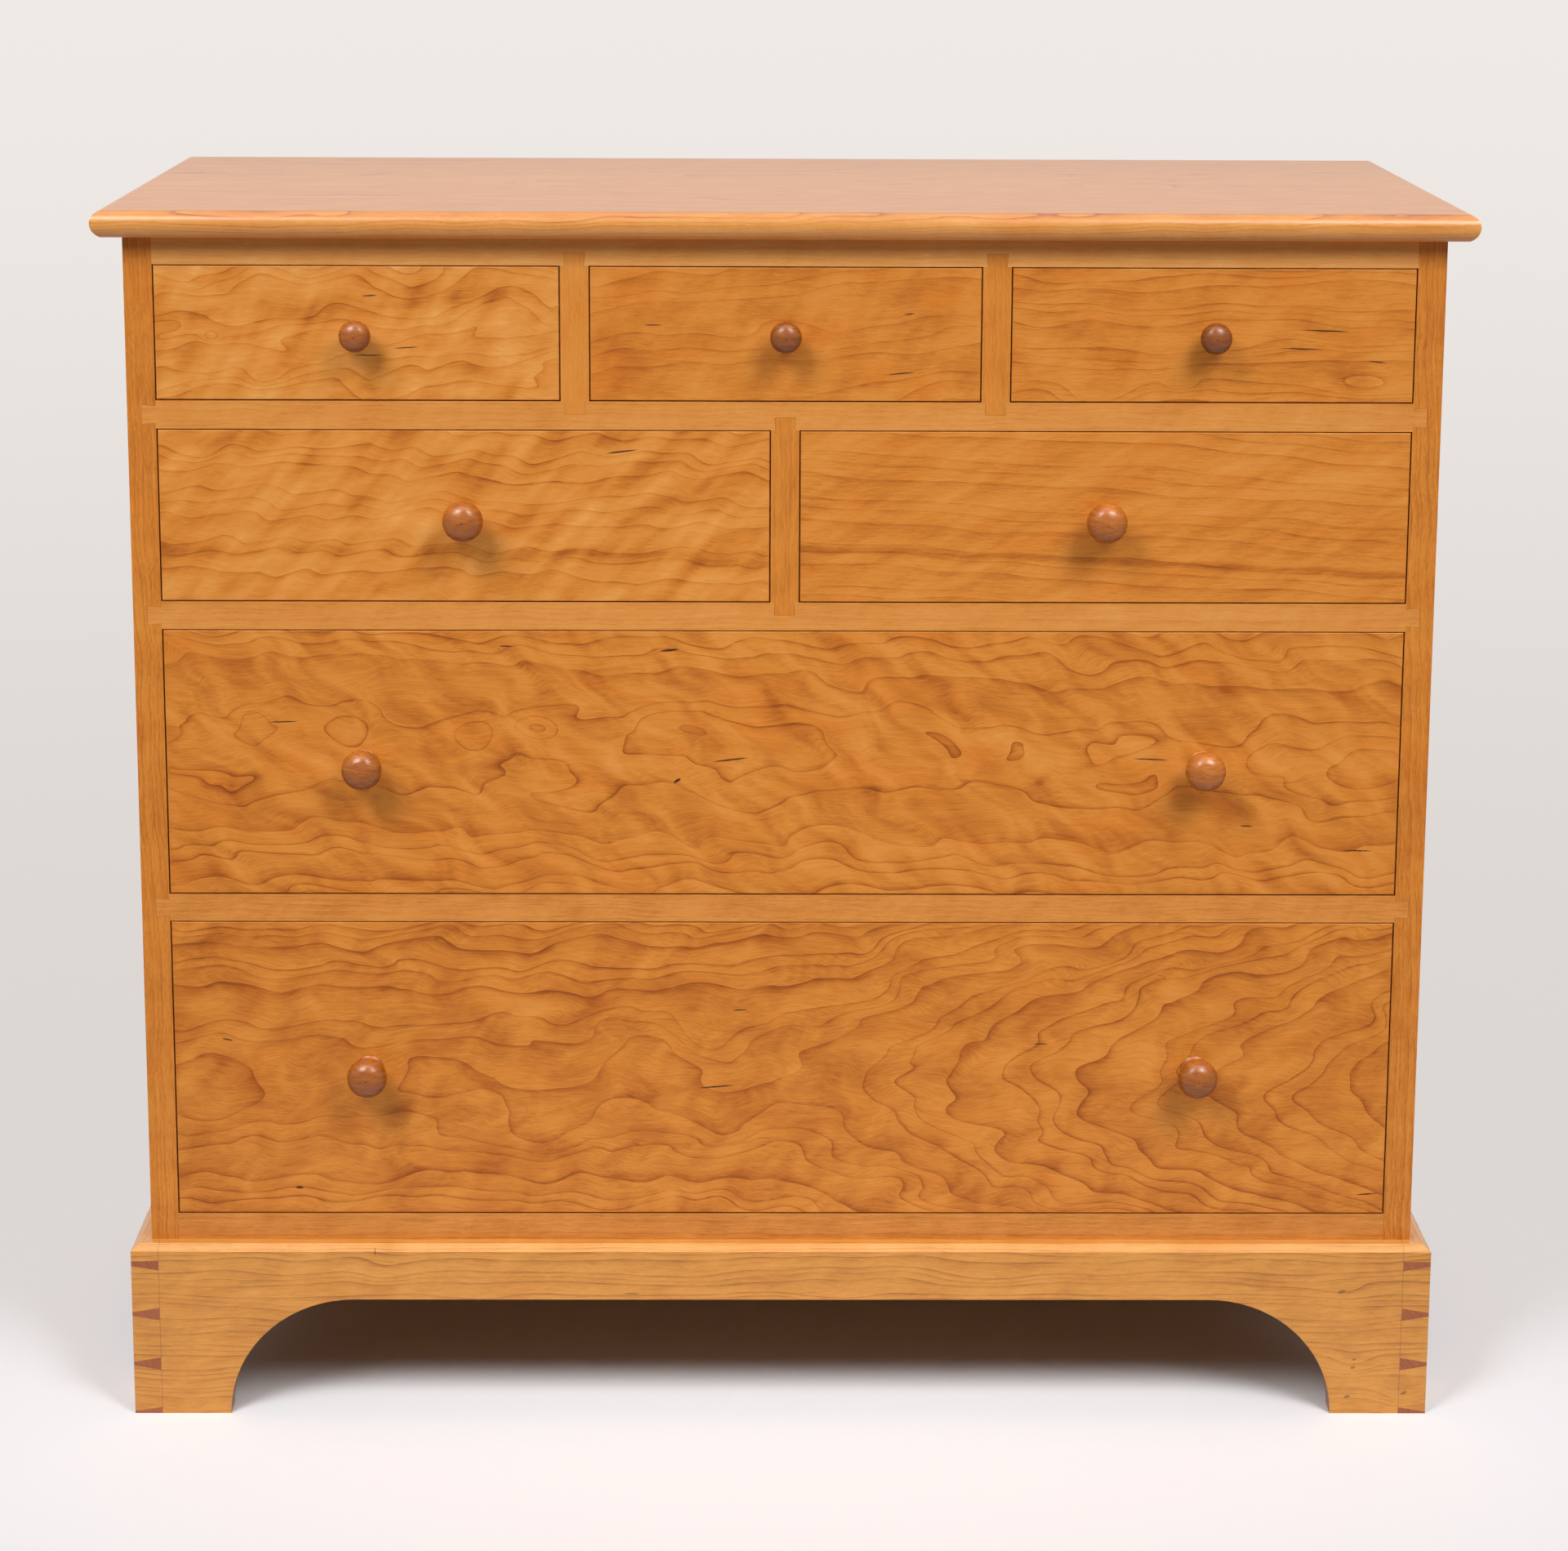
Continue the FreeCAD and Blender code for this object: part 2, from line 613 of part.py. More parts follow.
def build():
    os.makedirs("parts", exist_ok=True)

    levels = (bottom_rail_z, lower_rail_z, middle_rail_z, upper_rail_z)
    floors = [z + rail_height for z in levels]
    muntins = [muntin(x, (floors[3], top_rail_z)) for x in (-muntin_offset, muntin_offset)]
    muntins.append(muntin(0, (floors[2], upper_rail_z)))

    screws = []
    for x in (-top_screw_spacing, 0, top_screw_spacing):
        screws.append(screw(x, front_y + rail_depth / 2, top_rail_z, rail_height))
        screws.append(screw(x, back_rail_y + back_rail_depth / 2, top_rail_z, rail_height))
    for x in (-base_screw_spacing, base_screw_spacing):
        for y in (base_lining_y + cleat_width / 2, back_y - base_thickness - cleat_width / 2):
            screws.append(screw(x, y, base_height - cleat_height, cleat_height))

    # Rails and the bars between them
    top_front = top_rail(rail_y, (rail_back_y - tenon_length, rail_back_y))
    top_back = top_rail((back_rail_y, lining_y), (back_rail_y, back_rail_y + tenon_length))
    rails = [bottom_rail()] + [drawer_rail(z) for z in levels[1:]]
    back_rails = [back_rail(z) for z in levels]
    left_runners = [side_bar(z) for z in levels]
    left_kicker = side_bar(top_rail_z)
    center_runners = [center_bar(x, upper_rail_z) for x in (-muntin_offset, muntin_offset)]
    center_runners.append(center_bar(0, middle_rail_z))
    center_kickers = [center_bar(x, top_rail_z) for x in (-muntin_offset, muntin_offset)]
    guides = [drawer_guide(x, floors[3]) for x in (-muntin_offset, muntin_offset)]
    guides.append(drawer_guide(0, floors[2]))

    for name, rail in zip(("rail_bottom", "rail_lower", "rail_middle", "rail_upper"), rails):
        save(name, [carved(rail, muntins + screws)])
    save("top_front_rail", [carved(top_front, muntins + screws)])
    save("top_back_rail", [carved(top_back, screws)])
    save("back_rails", [carved(rail, screws) for rail in back_rails])
    for name, upright in zip(("muntin_upper_left", "muntin_upper_right", "muntin_lower"), muntins):
        save(name, [upright])
    save("side_runners", left_runners + [mirrored(bar) for bar in left_runners])
    save("center_runners", center_runners)
    save("top_kickers", [left_kicker, mirrored(left_kicker)] + center_kickers)
    save("drawer_guides", guides)

    # Boards of the case
    boards = back_boards()
    neighbours = rails + back_rails + left_runners + [top_front, top_back, left_kicker, boards[0]]
    side = block((-half_case, -half_inside), (front_y, back_y), (base_height, case_top_z))
    side = carved(side, neighbours)
    save("side_left", [side])
    save("side_right", [mirrored(side)])
    save("top_board", [carved(top_board(), screws)])
    save("back_boards", boards)

    # Base
    rear = base_back()
    left_base = base_side(rear)
    save("base_left", [left_base])
    save("base_right", [mirrored(left_base)])
    save("base_front", [base_front([left_base, mirrored(left_base)])])
    save("base_back", [rear])
    save("base_blocks", [carved(cleat, screws) for cleat in base_cleats()] + corner_blocks())
    save("screws", screws)

    # Drawers, each in its own opening
    outer = muntin_offset + half_muntin
    inner = muntin_offset - half_muntin
    full_x, knob_x = inside_x, (half_inside + outer) / 2
    half_x = (half_muntin, half_inside)
    half_knob_x = sum(half_x) / 2
    drawers = [
        ("drawer_top_left", (-half_inside, -outer), floors[3], top_row_height, small_knob_diameter, [-knob_x]),
        ("drawer_top_center", (-inner, inner), floors[3], top_row_height, small_knob_diameter, [0]),
        ("drawer_top_right", (outer, half_inside), floors[3], top_row_height, small_knob_diameter, [knob_x]),
        ("drawer_upper_left", (-half_inside, -half_muntin), floors[2], second_row_height, large_knob_diameter,
         [-half_knob_x]),
        ("drawer_upper_right", half_x, floors[2], second_row_height, large_knob_diameter, [half_knob_x]),
        ("drawer_middle", full_x, floors[1], third_row_height, large_knob_diameter, [-knob_x, knob_x]),
        ("drawer_lower", full_x, floors[0], bottom_row_height, large_knob_diameter, [-knob_x, knob_x]),
    ]
    stops = []
    for name, opening_x, z, row_height, knob_diameter, knob_places in drawers:
        drawer(name, opening_x, z, row_height, knob_diameter, knob_places)
        stops += drawer_stops(opening_x, z)
    save("drawer_stops", stops)


build()
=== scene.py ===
"""Looks of a cherry chest of drawers: figured wood, plain studio stage, light and camera.

Wood figures, joint lines and noise cells are in millimetres, and everything else is in
metres. A board's places are taken from its middle: u runs along the grain, v across it
and w into the board.
"""
import json
import math
from functools import partial, reduce

import bpy
from mathutils import Matrix, Vector

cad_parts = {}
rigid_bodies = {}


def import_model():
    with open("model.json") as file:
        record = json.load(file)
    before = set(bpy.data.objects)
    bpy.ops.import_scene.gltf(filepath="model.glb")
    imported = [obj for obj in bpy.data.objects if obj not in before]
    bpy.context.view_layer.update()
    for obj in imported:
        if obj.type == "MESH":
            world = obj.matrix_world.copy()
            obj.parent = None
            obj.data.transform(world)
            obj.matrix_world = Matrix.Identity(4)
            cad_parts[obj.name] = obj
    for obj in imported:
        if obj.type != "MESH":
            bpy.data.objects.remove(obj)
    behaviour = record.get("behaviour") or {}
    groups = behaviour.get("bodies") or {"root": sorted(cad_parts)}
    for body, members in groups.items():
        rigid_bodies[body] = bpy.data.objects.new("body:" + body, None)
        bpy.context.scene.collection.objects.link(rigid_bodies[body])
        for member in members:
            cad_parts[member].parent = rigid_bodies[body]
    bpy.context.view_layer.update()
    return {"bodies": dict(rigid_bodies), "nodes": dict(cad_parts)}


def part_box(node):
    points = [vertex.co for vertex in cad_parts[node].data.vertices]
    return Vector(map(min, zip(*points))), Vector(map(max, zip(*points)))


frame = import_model()

# Millimetres in a metre
mm = 1000.0

# Camera, fitted to the edges of the chest
camera_place = Vector((-0.0307, -3.2248, 1.2561))
camera_pitch, camera_yaw, camera_roll = (math.radians(a) for a in (11.685, -0.581, -0.245))
camera_lens = 89.91
camera_shift_y = -0.085

# A softbox high on each side in front; the place and aim are the right one's
softbox_power = 10.2
softbox_size = 1.5
softbox_place = Vector((1.5, -2.1, 2.75))
softbox_aim = Vector((0.66, -0.24, 0.62))
softbox_spread = math.radians(54)
softbox_color = (1.0, 0.99, 0.975)

# The room: each span is a range of the direction's height, or of its reach to the back.
# Its ceiling is brighter towards the back, and warm light comes up from below.
room_light, room_span = 0.4, (0.2, 0.8)
back_light, back_span = 0.42, (0.0, 0.7)
bounce_light, bounce_span = 0.4, (-0.12, -0.5)
bounce_color = (1.0, 0.82, 0.62, 1.0)

# What the camera and reflections see of it: a grey wall, a bright sweep below it,
# and in reflections alone a bright panel overhead
backdrop_tones = ((0.0, (221, 215, 212)), (1.0, (240, 234, 231)))
backdrop_span = (-0.3, -0.02)
sweep_color = (249, 243, 242)
sweep_span = (-0.36, -0.48)
panel_light, panel_span = 3.5, (0.75, 0.92)

# Floor, which fades out over a range of distances from its middle
floor_color = (241, 242, 246)
floor_radius, floor_corners = 4.0, 96
floor_middle = Vector((0.0, -0.35, 0.0))
floor_fade = (0.62, 0.98)

# Tones from the darkest line to the lightest fibre, as screen colours
cherry_tones = ((0.0, (108, 48, 10)), (0.25, (164, 87, 22)), (0.5, (206, 130, 49)),
                (0.75, (220, 152, 76)), (1.0, (234, 180, 114)))
ember_tones = ((0.0, (104, 44, 12)), (0.25, (160, 79, 20)), (0.5, (204, 116, 35)),
               (0.75, (220, 138, 60)), (1.0, (234, 168, 98)))
rail_tones = ((0.0, (114, 58, 18)), (0.25, (170, 98, 32)), (0.5, (208, 136, 62)),
              (0.75, (222, 156, 84)), (1.0, (236, 180, 114)))
base_tones = ((0.0, (112, 60, 18)), (0.25, (166, 102, 34)), (0.5, (206, 140, 57)),
              (0.75, (222, 162, 88)), (1.0, (240, 198, 146)))
knob_tones = ((0.0, (68, 31, 8)), (0.3, (122, 62, 16)), (0.5, (156, 84, 22)),
              (0.7, (187, 108, 35)), (1.0, (214, 148, 79)))
end_grain_tones = ((0.0, (86, 38, 16)), (0.5, (156, 84, 42)), (1.0, (184, 112, 64)))
pale_tones = ((0.0, (168, 128, 84)), (0.5, (224, 192, 148)), (1.0, (240, 216, 178)))
bottom_tones = ((0.0, (104, 58, 28)), (0.5, (200, 156, 106)), (1.0, (226, 190, 146)))
frame_tones = ((0.0, (96, 52, 24)), (0.5, (152, 90, 44)), (1.0, (186, 124, 72)))
steel_tones = ((0.0, (120, 118, 116)), (1.0, (188, 186, 182)))
fleck_color = (64, 26, 10)
middle_tone = 0.5

# Noises of every board: cells along, across and into the board in millimetres, what is
# added to the board's seed, detail and roughness. Where a board's figure gives a size for
# the noise, that is the first two cells.
board_noises = {
    "sway": ((80.0,), 17, 0.3, 0.5), "ripple": ((80.0,), 11, 0.3, 0.5),
    "wave": ((60.0,), 23, 0.6, 0.5), "curl": ((90.0,), 13, 1.0, 0.5),
    "fibre": ((9.0, 0.7, 0.9), 3, 2.0, 0.6), "streak": ((34.0, 2.2, 2.6), 5, 2.0, 0.6),
    "pore": ((4.0, 0.4, 0.4), 7, 1.0, 0.5), "mottle": ((40.0, 22.0, 40.0), 9, 3.0, 0.5),
    "ember": ((60.0, 34.0, 60.0), 19, 2.0, 0.5), "fade": ((46.0, 24.0, 60.0), 29, 1.0, 0.5),
}
seed_shift = (7.31, 3.17, 1.73)

# Grain of every board. A pair of numbers is where a smooth step starts and ends; four
# numbers also give what it runs between.
line_width, shade_width = 1.2, 7.0
line_fade, line_share = (-0.45, 0.3, 0.45, 1.15), 0.6
shade_mean = 1 / 3
streak_share = 0.6
ember_span = (-0.2, 0.5)
pore_span, pore_tone, end_pore_tone = (0.25, 0.6), -0.14, 0.25
island_follow = 0.4
run_blend = 80.0
uneven_rate, uneven_reach = 2.1, 0.28
# The upward span sets where painted light or painted shade on faces turned up comes in.
end_span, upward_painted_span = (0.6, 0.9), (0.3, 0.8)
fleck_edge, fleck_fray = (1.2, 0.4), (-0.9, 0.0)
board_relief, relief_share = 0.00002, -0.4
roughness_change, coat_roughness = 0.05, 0.3

# Joints that show on the front, in millimetres as built
lapped_rails = ("rail_upper", "rail_middle", "rail_lower")
rail_lap = {"half_length": 497.0, "lap": 11.0, "neck": 13.6, "flare": 1.0}
muntin_lap = {"lap": 10.0, "neck": 15.2, "flare": 0.7}
lap_edge, lap_start = (0.5, 0.2), (0.0, 0.2)
base_pin_line, scribe_edge = 501.1, (0.45, 0.1)
joint_share = 0.4

# Knobs: how light each drawer's are, left and right, and the grain and finish of their wood.
# Their noises, and the screws', have cells in millimetres, seed, detail and roughness.
knob_light = {
    "drawer_top_left": (0.02,), "drawer_top_center": (-0.08,), "drawer_top_right": (-0.15,),
    "drawer_upper_left": (0.05,), "drawer_upper_right": (0.10,),
    "drawer_middle": (0.02, 0.14), "drawer_lower": (-0.02, -0.02),
}
knob_middle_tone = 0.52
knob_fibre, knob_fibre_tone = ((7.0, 14.0, 1.6), 3.0, 2.0, 0.6), 0.1
knob_streak, knob_streak_tone = ((9.0, 30.0, 3.0), 5.0, 2.0, 0.5), 0.2
knob_rings, knob_lean, knob_ring_wave = 0.45, 0.08, 0.8
knob_ring_span, knob_ring_tone = (0.55, 0.95), -0.08
# Painted shade on the knobs: darker on faces turned down, lighter on faces turned up.
knob_painted_shade_span = (-0.7, 0.7, -0.1, 0.06)
knob_mark_edge, knob_mark_tone = (1.1, 0.5), 0.35
knob_roughness, knob_roughness_change = 0.27, 0.04
knob_gloss, knob_relief = 0.5, 0.000003

# Screws
screw_marks, screw_contrast = ((1.5, 1.5, 0.2), 2.0, 2.0, 0.5), 0.3
screw_roughness, screw_roughness_change = 0.38, 0.08
screw_relief = 0.00001

# What a plain board looks like; each figure below changes some of these.
# Rings are counted across the board: rings and bend are the first and second powers of the
# distance from center, depth counts them into the board and run opens them along it.
plain_board = {
    "center": 0.0, "tilt": 0.0, "rings": 0.08, "bend": 0.0, "depth": 0.2, "run": 0.0,
    "run_from": 0.0, "phase": 0.4, "least_slope": 0.02, "seed": 1.0, "slant": 0.5,
    "wave": 0.6, "wave_size": (100.0, 30.0), "ripple": 5.0, "ripple_size": (36.0, 80.0),
    "sway": 0.0, "sway_size": (50.0, 26.0), "curl": 0.10, "curl_size": (18.0, 44.0),
    "line": 0.22, "shade": 0.05, "ring_tone": 0.04, "fibre": 0.16, "mottle": 0.16,
    # The upward amount is painted light on faces turned up, or painted shade where it is negative.
    "light": 0.0, "upward_painted_light": 0.0, "ember": 0.7, "tones": cherry_tones,
    "islands": (), "flecks": (), "fleck_share": 1.0, "bands": (), "joint": None,
    "roughness": 0.40, "gloss": 0.3, "coat": 0.0,
}

# The drawer fronts. An island is u, v, reach along, reach across and height in rings;
# a fleck u, v, length, thickness and rise; a band v, rise, width and depth of tone.
front_figures = {
    "drawer_top_left": dict(
        seed=2.0, light=0.13, ember=0.35, rings=0.075, tilt=0.05, wave=1.7,
        wave_size=(60.0, 26.0), ripple=9.0, ripple_size=(40.0, 44.0),
        curl=0.24, mottle=0.30, line=0.26, shade=0.09,
        islands=((-112.0, -3.0, 7.0, 5.0, 1.2), (-72.0, -34.0, 16.0, 8.0, 1.1)),
        flecks=((10.0, 29.0, 12.0, 1.2, 0.05), (38.0, -11.0, 20.0, 1.0, 0.06),
                (9.0, -17.0, 24.0, 1.0, 0.0)),
        bands=((22.0, 0.06, 7.0, 0.12),)),
    "drawer_top_center": dict(
        seed=4.0, rings=0.06, tilt=0.09, wave=1.1, wave_size=(90.0, 32.0),
        ripple=5.0, ripple_size=(50.0, 60.0), curl=0.12, mottle=0.20, line=0.18,
        flecks=((-102.0, 7.0, 14.0, 1.0, 0.0), (95.0, 16.0, 9.0, 1.2, 0.1),
                (89.0, -30.0, 22.0, 1.2, 0.1))),
    "drawer_top_right": dict(
        seed=6.0, light=0.02, ember=0.5, rings=0.10, wave=1.2, wave_size=(110.0, 26.0),
        ripple=4.0, ripple_size=(50.0, 50.0), curl=0.08, mottle=0.20, line=0.21,
        islands=((-88.0, -44.0, 30.0, 14.0, 1.8), (118.0, -38.0, 26.0, 8.0, 1.3),
                 (-24.0, -38.0, 12.0, 5.0, 1.2)),
        flecks=((86.0, 4.0, 38.0, 1.4, -0.03), (68.0, -10.0, 35.0, 1.2, -0.02),
                (127.0, -20.0, 14.0, 1.2, -0.1))),
    "drawer_upper_left": dict(
        seed=8.0, slant=0.9, light=0.07, ember=0.35, rings=0.075, bend=0.0002, tilt=-0.02,
        wave=0.9, wave_size=(90.0, 34.0), ripple=8.0, ripple_size=(28.0, 60.0),
        curl=0.26, mottle=0.26, line=0.24, shade=0.07,
        islands=((-203.0, 52.0, 15.0, 9.0, 1.3),),
        flecks=((122.0, 51.0, 25.0, 1.6, 0.12),),
        bands=((-30.0, -0.02, 4.0, 0.14),)),
    "drawer_upper_right": dict(
        seed=10.0, slant=1.6, light=0.03, ember=0.5, rings=0.085, tilt=-0.06, wave=0.6,
        wave_size=(150.0, 36.0), ripple=3.5, ripple_size=(56.0, 80.0), curl=0.10, line=0.16,
        bands=((-34.0, -0.045, 3.0, 0.18),)),
    "drawer_middle": dict(
        seed=12.0, slant=-0.9, light=-0.02, ember=0.6, rings=0.0, center=6.0, tilt=-0.024,
        bend=0.0004, phase=5.4, least_slope=0.05, wave=1.0, wave_size=(64.0, 34.0),
        ripple=11.0, ripple_size=(38.0, 70.0), sway=20.0, curl=0.20, mottle=0.17,
        line=0.26, shade=0.04,
        islands=((-416.0, 34.0, 9.0, 11.0, -1.0), (-338.0, 32.0, 22.0, 20.0, -1.0),
                 (-244.0, 23.0, 16.0, 15.0, -1.0), (-193.0, 30.0, 16.0, 10.0, -1.6),
                 (-79.0, 24.0, 40.0, 26.0, -1.0), (8.0, 15.0, 44.0, 32.0, -1.0),
                 (379.0, 4.0, 14.0, 9.0, -1.0), (467.0, -5.0, 50.0, 24.0, -1.8)),
        flecks=((-393.0, 33.0, 24.0, 1.2, 0.03), (-90.0, 91.0, 16.0, 2.2, 0.1),
                (-218.0, 94.0, 11.0, 1.2, 0.0), (-42.0, 3.0, 28.0, 1.5, 0.12),
                (289.0, 4.0, 30.0, 1.2, -0.04), (366.0, -50.0, 11.0, 1.2, 0.0),
                (454.0, -70.0, 26.0, 1.2, -0.02), (-84.0, -14.0, 6.0, 3.0, 0.5))),
    "drawer_lower": dict(
        seed=14.0, slant=0.3, light=-0.045, ember=0.35, rings=0.0, center=-12.0, bend=0.00042,
        phase=0.65, run=0.028, run_from=10.0, least_slope=0.035, wave=0.7,
        wave_size=(60.0, 36.0), ripple=12.0, ripple_size=(42.0, 70.0), sway=26.0,
        sway_size=(80.0, 22.0), curl=0.13, mottle=0.20, line=0.29, shade=0.04,
        islands=((-453.0, -17.0, 31.0, 33.0, -1.3), (-272.0, -8.0, 30.0, 19.0, -1.1),
                 (-186.0, -48.0, 46.0, 30.0, -1.5), (-113.0, 10.0, 36.0, 40.0, -1.4),
                 (-50.0, -45.0, 42.0, 26.0, -1.3), (-62.0, 28.0, 28.0, 18.0, 1.2)),
        flecks=((-53.0, -15.0, 30.0, 1.5, 0.08), (-34.0, 49.0, 12.0, 1.2, 0.05),
                (-388.0, -100.0, 7.0, 2.4, 0.0), (-443.0, 24.0, 9.0, 1.4, -0.2),
                (472.0, -105.0, 18.0, 1.4, 0.08), (206.0, 21.0, 12.0, 1.0, 0.0))),
}

# The case, with how light each rail and muntin is
rail_light = {"top_front_rail": 0.26, "rail_upper": 0.07, "rail_middle": 0.07,
              "rail_lower": -0.01, "rail_bottom": -0.03}
rail_figure = dict(
    rings=0.22, wave=1.2, wave_size=(160.0, 14.0), ripple=2.0, line=0.08, shade=0.04,
    ring_tone=0.05, curl=0.06, curl_size=(12.0, 30.0), mottle=0.12, ember=0.15,
    tones=rail_tones)
muntin_light = {"muntin_upper_left": 0.10, "muntin_upper_right": 0.04, "muntin_lower": 0.0}
muntin_figure = {**rail_figure, "line": 0.05, "curl": 0.04, "mottle": 0.10, "ember": 0.5,
                 "tones": cherry_tones}
side_figure = dict(
    rings=0.0, bend=0.0003, center=-30.0, run=-0.008, run_from=-200.0, wave=1.0,
    wave_size=(110.0, 30.0), depth=0.22, ripple=5.0, line=0.12, curl=0.05, mottle=0.1,
    ember=0.5, light=-0.03)
# The top's upward face is painted darker than its edges, a painted shade.
top_figure = dict(
    seed=44.0, rings=0.0, bend=0.0002, center=20.0, depth=0.25, run=0.006, run_from=-300.0,
    wave=1.0, wave_size=(120.0, 30.0), ripple=6.0, roughness=0.30, gloss=0.45, coat=0.25,
    curl=0.05, mottle=0.12, ember=0.35, line=0.34, shade=0.09, light=0.24, upward_painted_light=-0.2,
    flecks=((-300.0, 60.0, 22.0, 2.0, 0.0), (-60.0, -120.0, 26.0, 2.0, 0.05),
            (180.0, 150.0, 24.0, 2.0, 0.0)))
# The base's upward faces, its chamfer most, are painted lighter: a painted highlight.
base_figure = dict(
    rings=0.15, wave=1.2, wave_size=(110.0, 26.0), ripple=5.0, ripple_size=(60.0, 40.0),
    line=0.24, shade=0.05, curl=0.05, ember=0.15, fleck_share=0.55, tones=base_tones,
    upward_painted_light=0.1, roughness=0.36, gloss=0.45, coat=0.3)
base_front_figure = dict(
    seed=46.0,
    islands=((452.0, 33.0, 26.0, 8.0, 1.4), (465.0, -29.0, 20.0, 9.0, 1.4),
             (505.0, -54.0, 16.0, 10.0, 1.2), (-322.0, 48.0, 24.0, 14.0, 1.3)),
    flecks=((452.0, 33.0, 7.0, 3.0, 0.3), (464.0, -25.0, 3.5, 2.0, 0.1),
            (463.0, -32.0, 4.5, 2.5, 0.2), (459.0, -57.0, 5.5, 2.6, 0.2),
            (505.0, -54.0, 6.0, 3.0, 0.4), (-121.0, 31.0, 14.0, 1.6, 0.0),
            (-327.0, 66.0, 1.6, 6.0, 0.0)))

# Inside and behind, with the axes along and across the grain
pale_figure = dict(
    rings=0.07, wave=1.0, wave_size=(140.0, 30.0), line=0.22, curl=0.03, mottle=0.1,
    ember=0.0, tones=pale_tones)
# Drawer bottoms are painted darker all over and lighter again on their upward faces, so their
# undersides carry painted shade.
bottom_figure = {**pale_figure, "light": -0.24, "upward_painted_light": 0.24, "tones": bottom_tones}
frame_figure = {**pale_figure, "tones": frame_tones}
back_figure = dict(
    seed=80.0, rings=0.06, wave=1.6, wave_size=(160.0, 34.0), curl=0.04, mottle=0.1,
    ember=0.15, tones=rail_tones)
drawer_parts = {"sides": ("YZ", pale_figure), "back": ("XZ", pale_figure),
                "bottom": ("XY", bottom_figure)}
frame_parts = {"top_back_rail": "XZ", "back_rails": "XY", "side_runners": "YX",
               "center_runners": "YX", "top_kickers": "YX", "drawer_guides": "YX",
               "drawer_stops": "XY", "base_back": "XZ", "base_blocks": "XZ"}

# First seed of each kind of board that comes in numbers
rail_seed, muntin_seed, side_seed, base_side_seed = 20.0, 30.0, 40.0, 48.0
drawer_seed, frame_seed = 50.0, 70.0


def linear(rgb):
    """A screen colour from 0 to 255 as the renderer's linear colour."""
    shares = [value / 255 for value in rgb]
    return (*(s / 12.92 if s <= 0.04045 else ((s + 0.055) / 1.055) ** 2.4 for s in shares), 1.0)


class Graph:
    """The node graph of one material or world: each call adds a node and gives its output."""

    def __init__(self, name, world=None):
        self.owner = world or bpy.data.materials.new(name)
        self.owner.use_nodes = True
        self.tree = self.owner.node_tree
        self.tree.nodes.clear()

    def node(self, kind, inputs, **settings):
        node = self.tree.nodes.new(kind)
        for key, value in settings.items():
            setattr(node, key, value)
        for key, value in inputs.items():
            if isinstance(value, bpy.types.NodeSocket):
                self.tree.links.new(value, node.inputs[key])
            else:
                node.inputs[key].default_value = value
        return node

    def math(self, operation, *values):
        inputs = dict(enumerate(values))
        return self.node("ShaderNodeMath", inputs, operation=operation).outputs[0]

    def add(self, *values):
        return reduce(partial(self.math, "ADD"), values)

    def mul(self, *values):
        return reduce(partial(self.math, "MULTIPLY"), values)

    def sub(self, a, b):
        return self.math("SUBTRACT", a, b)

    def falloff(self, distance, width):
        """A share that falls from 1 with the distance, about gone at a few widths."""
        return self.math("POWER", math.e, self.mul(distance, -1 / width))

    def span(self, value, low, high, out_low=0.0, out_high=1.0):
        """The value's smooth step from low to high."""
        inputs = {"Value": value, "From Min": low, "From Max": high,
                  "To Min": out_low, "To Max": out_high}
        return self.node("ShaderNodeMapRange", inputs, interpolation_type="SMOOTHSTEP").outputs[0]

    def split(self, vector):
        return self.node("ShaderNodeSeparateXYZ", {0: vector}).outputs

    def join(self, x, y, z):
        return self.node("ShaderNodeCombineXYZ", {0: x, 1: y, 2: z}).outputs[0]

    def coordinates(self, kind):
        return self.node("ShaderNodeTexCoord", {}).outputs[kind]

    def place(self, middle=(0.0, 0.0, 0.0)):
        """Places in millimetres, from a middle in millimetres."""
        inputs = {"Vector": self.coordinates("Object"), "Scale": (mm, mm, mm),
                  "Location": [-part for part in middle]}
        return self.node("ShaderNodeMapping", inputs).outputs[0]

    def facing(self):
        """The way each face looks, in x, y and z."""
        return self.split(self.coordinates("Normal"))

    def noise(self, place, cells, seed, detail, roughness):
        """Noise about zero, from about -1 to 1, with cells of the given sizes."""
        inputs = {"Vector": place, "Scale": [1 / size for size in cells],
                  "Location": [seed * shift for shift in seed_shift]}
        place = self.node("ShaderNodeMapping", inputs).outputs[0]
        inputs = {"Vector": place, "Scale": 1.0, "Detail": detail, "Roughness": roughness}
        noise = self.node("ShaderNodeTexNoise", inputs).outputs[0]
        return self.math("MULTIPLY_ADD", noise, 2.0, -1.0)

    def ramp(self, value, stops):
        """Colour along the stops, which are (place, screen colour)."""
        node = self.node("ShaderNodeValToRGB", {0: value})
        elements = node.color_ramp.elements
        while len(elements) < len(stops):
            elements.new(1.0)
        for element, (place, rgb) in zip(elements, stops):
            element.position = place
            element.color = linear(rgb)
        return node.outputs[0]

    def mix(self, share, first, second):
        node = self.node("ShaderNodeMix", {0: share, 6: first, 7: second}, data_type="RGBA")
        return node.outputs[2]

    def finish(self, color, roughness, height, relief, **sockets):
        """The shader, with a fine relief of the given depth in metres."""
        bump = self.node("ShaderNodeBump",
                         {"Height": height, "Distance": relief, "Strength": 1.0}).outputs[0]
        inputs = {"Base Color": color, "Roughness": roughness, "Normal": bump, **sockets}
        shader = self.node("ShaderNodeBsdfPrincipled", inputs)
        self.node("ShaderNodeOutputMaterial", {"Surface": shader.outputs[0]})
        return self.owner


